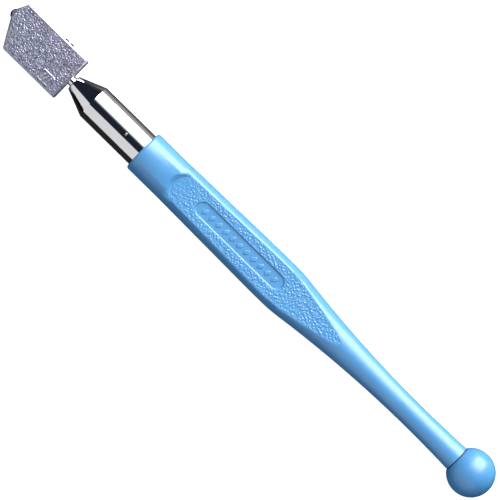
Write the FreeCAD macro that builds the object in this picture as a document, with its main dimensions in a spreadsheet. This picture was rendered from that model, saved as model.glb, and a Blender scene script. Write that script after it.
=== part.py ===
"""Oil-fed pencil glass cutter: a sprung, swivelling head on a hollow stem, a turned ferrule
with an oil valve inside, a hollow plastic handle that holds the oil, and a screw-in ball cap.

Row frame: +X along the tool's axis towards the cutting wheel, +Z up, square to the head's
broad faces. The tool lies with its axis level, and the origin is the middle of its base.
"""
import FreeCAD, Part
import math
import os
import re
import Sketcher

doc = FreeCAD.newDocument("glass_cutter")

# Millimetres. A name that ends in _at, _front or _end is a station: the distance from the
# wheel's front edge, measured back along the tool's axis.
SIZES = (
    ("total_length", 175.0, "wheel edge to the end of the ball"),
    ("running_gap", 0.04, "radial clearance of a shaft that turns or slides"),
    ("wheel_diameter", 3.15, "cutting wheel over its edge"),
    ("wheel_thickness", 1.0, "cutting wheel along its axle"),
    ("wheel_bevel", 0.21, "depth of the edge's bevel, for a 134 degree edge"),
    ("wheel_offset", 2.13, "wheel centre to the swivel axis"),
    ("wheel_room", 0.15, "slot's radial room round the wheel"),
    ("axle_diameter", 0.78, "wheel axle"),
    ("head_thickness", 4.6, "head across its broad faces"),
    ("head_half_width", 6.5, "swivel axis to either edge of the head"),
    ("head_long_corner_at", 2.45, "front corner on the wheel's side"),
    ("head_apex_at", 0.32, "nose of the head"),
    ("head_apex_offset", 2.31, "nose of the head to the swivel axis"),
    ("head_short_corner_at", 5.4, "front corner on the other side"),
    ("head_end", 23.5, "rear face of the head"),
    ("head_nose_round", 0.5, "rounding of the nose"),
    ("head_chamfer", 0.3, "chamfer round both broad faces"),
    ("channel_diameter", 0.8, "oil channel to the wheel"),
    ("channel_offset", 0.9, "oil channel to the swivel axis"),
    ("stem_diameter", 2.7, "stem"),
    ("stem_front", 13.2, "front end of the stem"),
    ("stem_end", 36.2, "rear end of the stem"),
    ("stem_bore_diameter", 1.0, "oil bore in the stem"),
    ("stem_bore_end", 33.2, "closed end of the oil bore"),
    ("stem_groove_diameter", 1.9, "floor of the groove that the lock screw enters"),
    ("stem_groove_width", 1.6, "groove along the axis"),
    ("cross_hole_at", 32.4, "oil hole across the stem"),
    ("cross_hole_diameter", 0.8, "oil hole across the stem"),
    ("flange_front", 34.0, "flange that carries the valve seal"),
    ("flange_thickness", 1.0, "flange along the axis"),
    ("flange_diameter", 5.4, "flange"),
    ("screw_at", 16.5, "lock screw"),
    ("screw_diameter", 3.0, "lock screw"),
    ("screw_proud", 0.38, "lock screw above the head's edge"),
    ("screw_shoulder", 2.4, "swivel axis to the screw's full thread"),
    ("screw_point_diameter", 1.4, "dog point"),
    ("screw_point_tip", 1.05, "swivel axis to the dog point's tip"),
    ("screw_slot_width", 0.85, "driver slot"),
    ("screw_slot_depth", 0.7, "driver slot"),
    ("screw_chamfer", 0.25, "bevel round the screw's top"),
    ("ferrule_front", 24.5, "nose face of the ferrule"),
    ("ferrule_nose_diameter", 4.2, "nose face before its rounding"),
    ("ferrule_nose_round", 0.5, "rounding of the nose"),
    ("ferrule_shoulder_at", 31.7, "end of the cone"),
    ("ferrule_diameter", 10.0, "parallel part of the ferrule"),
    ("ferrule_step_at", 51.3, "end of the parallel part"),
    ("tail_diameter", 8.5, "threaded tail"),
    ("tail_end", 58.0, "end of the threaded tail"),
    ("valve_seat_at", 33.0, "face that the valve seal closes on"),
    ("reservoir_diameter", 6.4, "oil space in the ferrule and handle"),
    ("seal_diameter", 5.2, "valve seal"),
    ("spring_wire", 0.5, "spring wire"),
    ("spring_diameter", 5.4, "spring over its coils"),
    ("spring_turns", 6.0, "working turns"),
    ("plug_front", 42.3, "face that the spring pushes on"),
    ("plug_thickness", 3.0, "spring plug along the axis"),
    ("plug_bore_diameter", 1.6, "oil hole in the spring plug"),
    ("pin_at", 43.8, "pin that holds the spring plug"),
    ("pin_diameter", 0.8, "pin that holds the spring plug"),
    ("pin_top", 4.98, "axis to the pin's outer end"),
    ("pin_foot", 1.2, "axis to the pin's inner end"),
    ("ring_section", 0.9, "O-ring at the handle's mouth"),
    ("insert_front", 52.2, "threaded insert"),
    ("insert_length", 6.8, "threaded insert"),
    ("insert_diameter", 10.0, "threaded insert"),
    ("thread_gap", 0.05, "radial clearance of the plain threads"),
    ("handle_front", 49.5, "front face of the handle"),
    ("mouth_diameter", 10.3, "handle's mouth round the ferrule"),
    ("collar_radius", 6.05, "round front of the handle"),
    ("collar_round", 0.7, "rounding of the front edge"),
    ("collar_end", 61.0, "where the handle starts to flare"),
    ("crest_radius", 6.57, "handle at its widest"),
    ("crest_front", 94.6, "start of the widest stretch"),
    ("crest_end", 98.5, "end of the widest stretch"),
    ("waist_radius", 3.38, "handle at its narrowest"),
    ("waist_at", 148.2, "narrowest point"),
    ("waist_curve", 340.0, "radius of the long hollow curve at its narrowest"),
    ("handle_end", 163.2, "rear face of the handle"),
    ("chamber_end", 117.5, "end of the wide oil chamber"),
    ("throat_at", 121.5, "start of the narrow filling bore"),
    ("throat_diameter", 3.4, "narrow filling bore"),
    ("thread_front", 155.5, "start of the cap's thread"),
    ("panel_height", 4.45, "axis to the flat grip panels"),
    ("panel_half_width", 5.0, "half the width of the panels' cutter"),
    ("panel_front", 61.4, "front of the flat"),
    ("panel_end", 130.0, "where the cutter leaves, past the flat's point"),
    ("recess_front", 69.5, "pill-shaped recess in each panel"),
    ("recess_end", 100.0, "pill-shaped recess in each panel"),
    ("recess_half_width", 2.1, "pill-shaped recess in each panel"),
    ("recess_depth", 0.3, "pill-shaped recess in each panel"),
    ("ball_radius", 6.45, "ball of the filler cap"),
    ("ball_face_at", 163.5, "flat face of the ball"),
    ("stud_diameter", 4.0, "threaded stud of the cap, M4"),
    ("stud_front", 156.0, "inner end of the stud"),
    ("stud_end", 169.5, "end of the stud inside the ball"),
    ("washer_diameter", 7.2, "sealing washer under the ball"),
    ("washer_bore_diameter", 4.4, "hole in the sealing washer"),
)


def make_sheet():
    """The driving dimensions, one row each: what it is, and its value under its name."""
    table = doc.addObject("Spreadsheet::Sheet", "sizes")
    for row, (alias, size, meaning) in enumerate(SIZES, start=1):
        table.set(f"A{row}", meaning)
        table.set(f"B{row}", str(size))
        table.setAlias(f"B{row}", alias)
    doc.recompute()
    return table


sheet = make_sheet()


# ---------------------------------------------------------------- expressions and sketches


def named(text):
    """An expression with the sheet's name put before each of the sheet's words."""
    return re.sub(r"[a-z_]+", lambda word: f"sizes.{word[0]}", text)


def size_of(text):
    """The present value of an expression of the sheet's words."""
    return float(sheet.evalExpression(named(text)))


def new_body(label):
    """A sub-part in the station frame: +X back along the tool from the wheel's front edge."""
    body = doc.addObject("PartDesign::Body", label)
    place(body)
    return body


def place(piece, station="0", side="0"):
    """Puts a piece's own origin at a station on the tool's axis, its +X towards the ball."""
    turn = FreeCAD.Rotation(FreeCAD.Vector(0, 0, 1), 180)
    piece.Placement = FreeCAD.Placement(FreeCAD.Vector(0, 0, 0), turn)
    piece.setExpression("Placement.Base.x", named(f"total_length / 2 - ({station})"))
    piece.setExpression("Placement.Base.y", named(f"0 - ({side})"))
    piece.setExpression("Placement.Base.z", named("ball_radius"))


def sketch_on(body, name, role="XZ_Plane", offset=None):
    """A sketch on one of the body's own planes, or at an offset along that plane's normal."""
    sketch = body.newObject("Sketcher::SketchObject", name)
    plane = next(item for item in body.Origin.OriginFeatures if item.Role == role)
    sketch.AttachmentSupport = [(plane, "")]
    sketch.MapMode = "FlatFace"
    if offset:
        sketch.setExpression("AttachmentOffset.Base.z", named(offset))
    return sketch


def tie(sketch, item, vertex, spot):
    """Ties a vertex to its spot, given as two expressions of the sheet's words."""
    for kind, line, text in (("DistanceX", -2, spot[0]), ("DistanceY", -1, spot[1])):
        distance = size_of(text)
        if abs(distance) < 1e-9:
            sketch.addConstraint(Sketcher.Constraint("PointOnObject", item, vertex, line))
            continue
        rule = Sketcher.Constraint(kind, -1, 1, item, vertex, distance)
        index = sketch.addConstraint(rule)
        sketch.setExpression(f"Constraints[{index}]", named(text))


def point(spot):
    """The vector of a spot given as two expressions."""
    return FreeCAD.Vector(size_of(spot[0]), size_of(spot[1]), 0)


def draw_outline(sketch, spots):
    """A closed outline of straight lines through the spots."""
    ends = [point(spot) for spot in spots]
    for start, end in zip(ends, ends[1:] + ends[:1]):
        sketch.addGeometry(Part.LineSegment(start, end), False)
    for index, spot in enumerate(spots):
        after = (index + 1) % len(spots)
        sketch.addConstraint(Sketcher.Constraint("Coincident", index, 2, after, 1))
        tie(sketch, index, 1, spot)
    return sketch


def draw_circle(sketch, spot, diameter):
    """A circle tied to its centre and its diameter."""
    upright = FreeCAD.Vector(0, 0, 1)
    ring = Part.Circle(point(spot), upright, size_of(diameter) / 2)
    item = sketch.addGeometry(ring, False)
    tie(sketch, item, 3, spot)
    rule = Sketcher.Constraint("Diameter", item, size_of(diameter))
    sketch.setExpression(f"Constraints[{sketch.addConstraint(rule)}]", named(diameter))
    return sketch


def draw_slot(sketch, front, end, half_width):
    """A slot along the axis with round ends, from its front station to its end station."""
    upright = FreeCAD.Vector(0, 0, 1)
    radius = size_of(half_width)
    centres = ((f"{front} + {half_width}", "0"), (f"{end} - {half_width}", "0"))
    quarter = math.pi / 2
    for centre, turn in zip(centres, (quarter, -quarter)):
        ring = Part.Circle(point(centre), upright, radius)
        sketch.addGeometry(Part.ArcOfCircle(ring, turn, turn + 2 * quarter), False)
    left, right = point(centres[0]), point(centres[1])
    for height, start, stop in ((-radius, left, right), (radius, right, left)):
        shift = FreeCAD.Vector(0, height, 0)
        sketch.addGeometry(Part.LineSegment(start + shift, stop + shift), False)
    for item, vertex, line, end_vertex in ((0, 2, 2, 1), (2, 2, 1, 1), (1, 2, 3, 1), (3, 2, 0, 1)):
        sketch.addConstraint(Sketcher.Constraint("Coincident", item, vertex, line, end_vertex))
    for item, centre in enumerate(centres):
        tie(sketch, item, 3, centre)
        for vertex in (1, 2):
            sketch.addConstraint(Sketcher.Constraint("Vertical", item, 3, item, vertex))
    rule = Sketcher.Constraint("Radius", 0, radius)
    sketch.setExpression(f"Constraints[{sketch.addConstraint(rule)}]", named(half_width))
    sketch.addConstraint(Sketcher.Constraint("Equal", 0, 1))
    return sketch


# ---------------------------------------------------------------------------- features


def turned(body, spots, name="turned", axis="H_Axis"):
    """A solid turned from the outline round one of its sketch's axes."""
    return turn_sketch(body, draw_outline(sketch_on(body, f"{name}_outline"), spots), name, axis)


def turn_sketch(body, sketch, name, axis="H_Axis", kind="PartDesign::Revolution"):
    """A revolution, or a groove, of a sketch round one of its axes."""
    feature = body.newObject(kind, name)
    feature.Profile = sketch
    feature.ReferenceAxis = (sketch, [axis])
    feature.Angle = 360
    doc.recompute()
    return feature


def raised(body, sketch, name, length, side="Symmetric"):
    """A pad of a sketch, symmetric about its plane unless it says otherwise."""
    feature = body.newObject("PartDesign::Pad", name)
    feature.Profile = sketch
    feature.SideType = side
    feature.setExpression("Length", named(length))
    doc.recompute()
    return feature


def cut(body, sketch, name, depth, side="One side", backwards=False, taper=None):
    """A pocket from a sketch. It has to take material away."""
    volume = body.Shape.Volume
    feature = body.newObject("PartDesign::Pocket", name)
    feature.Profile = sketch
    feature.SideType = side
    feature.Reversed = backwards
    feature.setExpression("Length", named(depth))
    if taper:
        feature.TaperAngle = taper
    doc.recompute()
    if not body.Shape.Volume < volume - 1e-4:
        raise ValueError(f"{body.Label}: {name} cuts nothing")
    return feature


def edges_where(shape, holds):
    """The names of a shape's edges whose every vertex passes a test."""
    return [
        f"Edge{index}"
        for index, edge in enumerate(shape.Edges, start=1)
        if all(holds(vertex.Point) for vertex in edge.Vertexes)
    ]


def dressed(body, kind, name, size, holds):
    """A fillet or chamfer on the edges of the body's last feature that pass a test."""
    base = body.Tip
    feature = body.newObject(kind, name)
    feature.Base = (base, edges_where(base.Shape, holds))
    feature.setExpression("Radius" if kind.endswith("Fillet") else "Size", named(size))
    doc.recompute()
    return feature


# ---------------------------------------------------------------------------- the head


def make_head_plate():
    """The flat head, wider than it is thick, with its nose to one side of the swivel axis."""
    body = new_body("head_plate")
    spots = (
        ("head_long_corner_at", "head_half_width"),
        ("head_apex_at", "head_apex_offset"),
        ("head_short_corner_at", "0 - head_half_width"),
        ("head_end", "0 - head_half_width"),
        ("head_end", "head_half_width"),
    )
    sketch = draw_outline(sketch_on(body, "outline", "XY_Plane"), spots)
    raised(body, sketch, "plate", "head_thickness")
    nose = size_of("head_apex_at")
    dressed(body, "PartDesign::Fillet", "nose_round", "head_nose_round",
            lambda p: abs(p.x - nose) < 1e-6)
    top = size_of("head_thickness / 2")
    dressed(body, "PartDesign::Chamfer", "edge_chamfer", "head_chamfer",
            lambda p: abs(abs(p.z) - top) < 1e-6)

    wheel = ("wheel_diameter / 2", "wheel_offset")
    sketch = draw_circle(sketch_on(body, "wheel_slot_outline", "XY_Plane"), wheel,
                         "wheel_diameter + 2 * wheel_room")
    cut(body, sketch, "wheel_slot", "wheel_thickness + 2 * running_gap", side="Symmetric")
    sketch = draw_circle(sketch_on(body, "axle_hole_outline", "XY_Plane"), wheel, "axle_diameter")
    cut(body, sketch, "axle_hole", "head_thickness + 1", side="Symmetric")

    sketch = draw_circle(sketch_on(body, "stem_bore_outline", "YZ_Plane", "head_end"),
                         ("0", "0"), "stem_diameter + 2 * running_gap")
    cut(body, sketch, "stem_bore", "head_end - stem_front + 0.2")
    sketch = draw_circle(sketch_on(body, "oil_channel_outline", "YZ_Plane", "stem_front"),
                         ("channel_offset", "0"), "channel_diameter")
    cut(body, sketch, "oil_channel", "stem_front - wheel_diameter")

    screw = ("screw_at", "0")
    sketch = draw_circle(sketch_on(body, "screw_hole_outline", offset="0 - head_half_width - 1"),
                         screw, "screw_diameter + 2 * thread_gap")
    cut(body, sketch, "screw_hole", "head_half_width + 1.2 - screw_shoulder", backwards=True)
    sketch = draw_circle(sketch_on(body, "point_hole_outline", offset="0 - screw_shoulder"),
                         screw, "screw_point_diameter + 2 * running_gap")
    cut(body, sketch, "point_hole", "screw_shoulder", backwards=True)
    return body


def make_cutting_wheel():
    """A carbide disc whose rim is bevelled from both sides to a blunt edge."""
    body = doc.addObject("PartDesign::Body", "cutting_wheel")
    place(body, "wheel_diameter / 2", "wheel_offset")
    inner = "axle_diameter / 2 + running_gap"
    flat = "wheel_diameter / 2 - wheel_bevel"
    spots = (
        (inner, "0 - wheel_thickness / 2"),
        (flat, "0 - wheel_thickness / 2"),
        ("wheel_diameter / 2", "0"),
        (flat, "wheel_thickness / 2"),
        (inner, "wheel_thickness / 2"),
    )
    turned(body, spots, axis="V_Axis")
    return body


def make_wheel_axle():
    """The pin that the wheel turns on, pressed through both cheeks of the head."""
    body = doc.addObject("PartDesign::Body", "wheel_axle")
    place(body, "wheel_diameter / 2", "wheel_offset")
    sketch = draw_circle(sketch_on(body, "outline", "XY_Plane"), ("0", "0"), "axle_diameter")
    raised(body, sketch, "pin", "head_thickness")
    return body


def make_lock_screw():
    """A slotted dog-point screw in the head's edge. Its point runs in the stem's groove."""
    body = doc.addObject("PartDesign::Body", "head_lock_screw")
    place(body, "screw_at")
    top = "head_half_width + screw_proud"
    thread = "screw_diameter / 2"
    spots = (
        ("0", "screw_point_tip"),
        ("screw_point_diameter / 2", "screw_point_tip"),
        ("screw_point_diameter / 2", "screw_shoulder"),
        (thread, "screw_shoulder"),
        (thread, f"{top} - screw_chamfer"),
        (f"{thread} - screw_chamfer", top),
        ("0", top),
    )
    sketch = draw_outline(sketch_on(body, "screw_outline", "XY_Plane"), spots)
    turn_sketch(body, sketch, "screw", "V_Axis")
    half = "screw_slot_width / 2"
    slot = (
        (f"0 - {half}", f"{top} - screw_slot_depth"),
        (half, f"{top} - screw_slot_depth"),
        (half, f"{top} + 1"),
        (f"0 - {half}", f"{top} + 1"),
    )
    sketch = draw_outline(sketch_on(body, "slot_outline", "XY_Plane"), slot)
    cut(body, sketch, "driver_slot", "screw_diameter + 1", side="Symmetric")
    return body


# ------------------------------------------------------------------- the stem and valve


def make_head_stem():
    """The hollow stem: a groove for the lock screw in front, the valve's flange behind."""
    body = new_body("head_stem")
    bore = "stem_bore_diameter / 2"
    stem = "stem_diameter / 2"
    groove = "stem_groove_diameter / 2"
    groove_front = "screw_at - stem_groove_width / 2"
    groove_end = "screw_at + stem_groove_width / 2"
    flange_end = "flange_front + flange_thickness"
    spots = (
        ("stem_front", bore),
        ("stem_front", stem),
        (groove_front, stem),
        (groove_front, groove),
        (groove_end, groove),
        (groove_end, stem),
        ("flange_front", stem),
        ("flange_front", "flange_diameter / 2"),
        (flange_end, "flange_diameter / 2"),
        (flange_end, stem),
        ("stem_end", stem),
        ("stem_end", "0"),
        ("stem_bore_end", "0"),
        ("stem_bore_end", bore),
    )
    turned(body, spots)
    sketch = draw_circle(sketch_on(body, "cross_hole_outline"), ("cross_hole_at", "0"),
                         "cross_hole_diameter")
    cut(body, sketch, "cross_hole", "stem_diameter + 1", side="Symmetric")
    return body


def make_ring(label, front, end, bore, outside):
    """A plain turned ring between two stations."""
    body = new_body(label)
    turned(body, ((front, bore), (end, bore), (end, outside), (front, outside)))
    return body


def make_valve_seal():
    """The rubber ring that closes the oil's way past the stem."""
    return make_ring("valve_seal", "valve_seat_at", "flange_front",
                     "stem_diameter / 2", "seal_diameter / 2")


def make_return_spring():
    """The compression spring between the stem's flange and the spring plug."""
    body = new_body("return_spring")
    front = "flange_front + flange_thickness + spring_wire / 2 + 0.01"
    sketch = draw_circle(sketch_on(body, "wire"), (front, "(spring_diameter - spring_wire) / 2"),
                         "spring_wire")
    doc.recompute()
    coil = body.newObject("PartDesign::AdditiveHelix", "coil")
    coil.Profile = sketch
    coil.ReferenceAxis = (sketch, ["H_Axis"])
    coil.Mode = "height-turns-angle"
    length = f"plug_front - ({front}) - spring_wire / 2 - 0.01"
    coil.setExpression("Height", named(length))
    coil.setExpression("Turns", named("spring_turns"))
    doc.recompute()
    return body


def make_spring_plug():
    """The plug behind the spring, with an oil hole through it and a hole for its pin."""
    body = make_ring("spring_plug", "plug_front", "plug_front + plug_thickness",
                     "plug_bore_diameter / 2", "reservoir_diameter / 2")
    sketch = draw_circle(sketch_on(body, "pin_hole_outline", "XY_Plane", "pin_foot"),
                         ("pin_at", "0"), "pin_diameter")
    cut(body, sketch, "pin_hole", "ferrule_diameter", backwards=True)
    return body


def make_plug_pin():
    """The pin through the ferrule's wall that holds the spring plug."""
    body = new_body("plug_pin")
    sketch = draw_circle(sketch_on(body, "outline", "XY_Plane", "pin_foot"),
                         ("pin_at", "0"), "pin_diameter")
    raised(body, sketch, "pin", "pin_top - pin_foot", side="One side")
    return body


# ----------------------------------------------------------------- the ferrule and joint


def make_ferrule():
    """The turned ferrule: a cone, a parallel body, the valve's chamber and a threaded tail."""
    body = new_body("ferrule")
    guide = "stem_diameter / 2 + running_gap"
    spots = (
        ("ferrule_front", guide),
        ("ferrule_front", "ferrule_nose_diameter / 2"),
        ("ferrule_shoulder_at", "ferrule_diameter / 2"),
        ("ferrule_step_at", "ferrule_diameter / 2"),
        ("ferrule_step_at", "tail_diameter / 2"),
        ("tail_end", "tail_diameter / 2"),
        ("tail_end", "reservoir_diameter / 2"),
        ("valve_seat_at", "reservoir_diameter / 2"),
        ("valve_seat_at", guide),
    )
    turned(body, spots)
    front, nose = size_of("ferrule_front"), size_of("ferrule_nose_diameter / 2")
    dressed(body, "PartDesign::Fillet", "nose_round", "ferrule_nose_round",
            lambda p: abs(p.x - front) < 1e-6 and abs((p.y**2 + p.z**2) ** 0.5 - nose) < 1e-6)
    sketch = draw_circle(sketch_on(body, "pin_hole_outline", "XY_Plane", "pin_foot"),
                         ("pin_at", "0"), "pin_diameter")
    cut(body, sketch, "pin_hole", "ferrule_diameter", backwards=True)
    return body


def make_ferrule_seal():
    """The O-ring between the ferrule's step and the threaded insert."""
    ring = doc.addObject("Part::Torus", "ferrule_seal")
    ring.setExpression("Radius1", named("(tail_diameter + ring_section) / 2"))
    ring.setExpression("Radius2", named("ring_section / 2"))
    place(ring, "ferrule_step_at + ring_section / 2")
    spin = FreeCAD.Rotation(FreeCAD.Vector(0, 1, 0), 90)
    ring.Placement = FreeCAD.Placement(ring.Placement.Base, ring.Placement.Rotation * spin)
    doc.recompute()
    return ring


def make_threaded_insert():
    """The metal bush moulded into the handle's mouth, which takes the ferrule's tail."""
    return make_ring("threaded_insert", "insert_front", "insert_front + insert_length",
                     "tail_diameter / 2 + thread_gap", "insert_diameter / 2")


# --------------------------------------------------------------------------- the handle


def draw_bend(sketch, start, corner, end):
    """A parabola from start to end whose end tangents meet at the corner, tied at the corner."""
    bend = Part.BSplineCurve()
    poles = [point(spot) for spot in (start, corner, end)]
    bend.buildFromPolesMultsKnots(poles, [3, 3], [0, 1], False, 2)
    item = sketch.addGeometry(bend, False)
    sketch.exposeInternalGeometry(item)
    tie(sketch, item + 2, 3, corner)
    return item


def draw_handle_outline(sketch):
    """Half the handle's outline: collar, flare, crest, and the long hollow curve to the neck."""
    # The crest's bend and the hollow curve meet at one slope.
    run = "2 * waist_curve * (crest_radius - waist_radius) / (waist_at - crest_end)"
    rear_run = "(handle_end - waist_at)"
    meet_at = f"(waist_at - {run})"
    meet = (meet_at, f"waist_radius + ({run}) ^ 2 / (2 * waist_curve)")
    rear = ("handle_end", f"waist_radius + {rear_run} ^ 2 / (2 * waist_curve)")
    crest_corner = (f"(crest_end + {meet_at}) / 2", "crest_radius")
    hollow_corner = (f"({meet_at} + handle_end) / 2",
                     f"waist_radius - ({run}) * {rear_run} / (2 * waist_curve)")
    crest_end = ("crest_end", "crest_radius")
    spots = (
        rear,
        ("handle_end", "0"),
        ("handle_front", "0"),
        ("handle_front", "collar_radius"),
        ("collar_end", "collar_radius"),
        ("crest_front", "crest_radius"),
        crest_end,
    )
    for index, (start, stop) in enumerate(zip(spots, spots[1:])):
        sketch.addGeometry(Part.LineSegment(point(start), point(stop)), False)
        tie(sketch, index, 1, start)
        if index:
            sketch.addConstraint(Sketcher.Constraint("Coincident", index - 1, 2, index, 1))
    last = len(spots) - 2
    crest = draw_bend(sketch, crest_end, crest_corner, meet)
    hollow = draw_bend(sketch, meet, hollow_corner, rear)
    for item, vertex, other, other_vertex in ((last, 2, crest, 1), (crest, 2, hollow, 1),
                                              (hollow, 2, 0, 1)):
        sketch.addConstraint(Sketcher.Constraint("Coincident", item, vertex, other, other_vertex))
    tie(sketch, last, 2, crest_end)
    tie(sketch, crest, 2, meet)
    return sketch


def make_handle():
    """The hollow moulded handle, round with two flat grip panels, one above and one below."""
    body = new_body("handle")
    turn_sketch(body, draw_handle_outline(sketch_on(body, "outline")), "outside")
    front = size_of("handle_front")
    dressed(body, "PartDesign::Fillet", "collar_edge", "collar_round",
            lambda p: abs(p.x - front) < 1e-6)

    sketch = draw_slot(sketch_on(body, "panel_outline", "XY_Plane", "panel_height"),
                       "panel_front", "panel_end", "panel_half_width")
    panel = cut(body, sketch, "panel", "panel_half_width", backwards=True, taper=45)
    sketch = draw_slot(sketch_on(body, "recess_outline", "XY_Plane", "panel_height"),
                       "recess_front", "recess_end", "recess_half_width")
    recess = cut(body, sketch, "recess", "recess_depth")
    lower = body.newObject("PartDesign::Mirrored", "lower_panel")
    lower.Originals = [panel, recess]
    level = next(item for item in body.Origin.OriginFeatures if item.Role == "XY_Plane")
    lower.MirrorPlane = (level, [""])
    body.Tip = lower
    doc.recompute()

    spots = (
        ("handle_front", "0"),
        ("handle_front", "mouth_diameter / 2"),
        ("insert_front", "mouth_diameter / 2"),
        ("insert_front", "insert_diameter / 2"),
        ("insert_front + insert_length", "insert_diameter / 2"),
        ("insert_front + insert_length", "reservoir_diameter / 2"),
        ("chamber_end", "reservoir_diameter / 2"),
        ("throat_at", "throat_diameter / 2"),
        ("thread_front", "throat_diameter / 2"),
        ("thread_front", "stud_diameter / 2 + thread_gap"),
        ("handle_end", "stud_diameter / 2 + thread_gap"),
        ("handle_end", "0"),
    )
    sketch = draw_outline(sketch_on(body, "bore_outline"), spots)
    turn_sketch(body, sketch, "bore", kind="PartDesign::Groove")
    return body


# ----------------------------------------------------------------------- the filler cap


def make_ball_cap():
    """The ball, faced off where it meets the neck and bored for its stud."""
    ball = doc.addObject("Part::Sphere", "ball")
    ball.setExpression("Radius", named("ball_radius"))
    ball.setExpression("Placement.Base.x", named("total_length - ball_radius"))
    neck = doc.addObject("Part::Box", "neck_face")
    for side in ("Length", "Width", "Height"):
        neck.setExpression(side, named("ball_radius * 2"))
    neck.setExpression("Placement.Base.x", named("ball_face_at - ball_radius * 2"))
    neck.setExpression("Placement.Base.y", named("0 - ball_radius"))
    neck.setExpression("Placement.Base.z", named("0 - ball_radius"))
    hole = doc.addObject("Part::Cylinder", "stud_hole")
    hole.setExpression("Radius", named("stud_diameter / 2"))
    hole.setExpression("Height", named("stud_end"))
    hole.Placement.Rotation = FreeCAD.Rotation(FreeCAD.Vector(0, 1, 0), 90)
    tools = doc.addObject("Part::MultiFuse", "ball_tools")
    tools.Shapes = [neck, hole]
    cap = doc.addObject("Part::Cut", "ball_cap")
    cap.Base = ball
    cap.Tool = tools
    place(cap)
    doc.recompute()
    return cap


def make_cap_stud():
    """The metal stud moulded into the ball, which screws into the handle's neck."""
    body = new_body("cap_stud")
    radius = "stud_diameter / 2"
    spots = (
        ("stud_front", "0"),
        ("stud_front", f"{radius} - 0.4"),
        ("stud_front + 0.4", radius),
        ("stud_end", radius),
        ("stud_end", "0"),
    )
    turned(body, spots)
    return body


def make_cap_washer():
    """The thin sealing washer under the ball."""
    return make_ring("cap_washer", "handle_end", "ball_face_at",
                     "washer_bore_diameter / 2", "washer_diameter / 2")


# ------------------------------------------------------------------------------- output


def check_document():
    """Stops if any object of the document failed to compute."""
    for item in doc.Objects:
        if {"Invalid", "Error"} & set(item.State):
            raise RuntimeError(f"{item.Label} is {item.State}")


def write_piece(piece):
    """Writes one sub-part's solid under its label."""
    shape = piece.Shape
    if shape.isNull() or not shape.isValid() or len(shape.Solids) != 1:
        raise RuntimeError(f"{piece.Label} is not one valid solid")
    shape.exportStep(f"parts/{piece.Label}.step")
    print(f"{piece.Label:18s} {shape.Volume:9.2f} mm3")


def main():
    makers = (
        make_head_plate, make_cutting_wheel, make_wheel_axle, make_lock_screw,
        make_head_stem, make_valve_seal, make_return_spring, make_spring_plug,
        make_plug_pin, make_ferrule, make_ferrule_seal, make_threaded_insert,
        make_handle, make_ball_cap, make_cap_stud, make_cap_washer,
    )
    pieces = [maker() for maker in makers]
    doc.recompute()
    check_document()
    os.makedirs("parts", exist_ok=True)
    for piece in pieces:
        write_piece(piece)


main()
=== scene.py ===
"""Oil-fed pencil glass cutter: the finished look of each part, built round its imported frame.

Row frame in metres: +X along the tool's axis towards the cutting wheel, +Z up. A station is a
distance in millimetres from the wheel's front edge, measured back along the tool's axis.
"""

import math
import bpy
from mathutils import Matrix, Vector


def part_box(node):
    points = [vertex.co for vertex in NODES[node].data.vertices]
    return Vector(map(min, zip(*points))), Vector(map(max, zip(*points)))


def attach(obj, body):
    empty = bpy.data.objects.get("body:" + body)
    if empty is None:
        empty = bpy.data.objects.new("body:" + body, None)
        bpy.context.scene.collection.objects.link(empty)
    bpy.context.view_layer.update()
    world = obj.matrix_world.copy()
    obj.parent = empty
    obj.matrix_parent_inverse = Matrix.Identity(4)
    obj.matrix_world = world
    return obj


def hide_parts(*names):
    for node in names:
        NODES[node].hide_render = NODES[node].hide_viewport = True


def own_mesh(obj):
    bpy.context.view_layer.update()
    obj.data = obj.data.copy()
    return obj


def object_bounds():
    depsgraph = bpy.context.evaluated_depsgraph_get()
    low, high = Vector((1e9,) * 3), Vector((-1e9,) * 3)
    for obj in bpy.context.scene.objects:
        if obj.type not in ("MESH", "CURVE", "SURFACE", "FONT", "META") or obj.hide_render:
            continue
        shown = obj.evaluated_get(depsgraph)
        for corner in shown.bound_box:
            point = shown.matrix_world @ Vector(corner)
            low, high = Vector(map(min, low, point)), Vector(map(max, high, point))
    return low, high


bl_info = {
    "name": "Glass Cutter Builder",
    "version": (1, 0, 0),
    "blender": (4, 5, 0),
    "location": "3D Viewport > Sidebar > Glass Cutter",
    "description": "Builds the finished parts of an oil-fed glass cutter round its frame",
    "category": "Object",
}

import bmesh
import bpy
import numpy as np
from mathutils import Matrix, Vector, geometry

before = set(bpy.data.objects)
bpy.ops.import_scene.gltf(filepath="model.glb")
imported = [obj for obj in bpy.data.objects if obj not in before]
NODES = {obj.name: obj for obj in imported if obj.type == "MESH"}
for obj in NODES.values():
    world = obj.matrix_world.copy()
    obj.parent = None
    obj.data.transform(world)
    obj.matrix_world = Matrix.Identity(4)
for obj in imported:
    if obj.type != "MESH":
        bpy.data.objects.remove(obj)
CAD_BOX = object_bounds()

MM = 0.001
FRONT_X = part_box("cutting_wheel")[1][0]
AXIS_Z = (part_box("ferrule")[0][2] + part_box("ferrule")[1][2]) / 2
PANEL_LEVEL, RECESS_LEVEL = 4.45, 4.15  # mm from the axis: grip panels, and recesses in them
PEBBLE = "pebble"
FINISHES = {}


def station_x(station):
    """The X of a station."""
    return FRONT_X - station * MM


# ------------------------------------------------------------------------------ finishes


def add_node(tree, kind, inputs=(), **settings):
    """A node with its settings and the values or links of its inputs."""
    node = tree.nodes.new(kind)
    for name, value in settings.items():
        setattr(node, name, value)
    for name, value in dict(inputs).items():
        if isinstance(value, bpy.types.NodeSocket):
            tree.links.new(value, node.inputs[name])
        else:
            node.inputs[name].default_value = value
    return node


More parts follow.
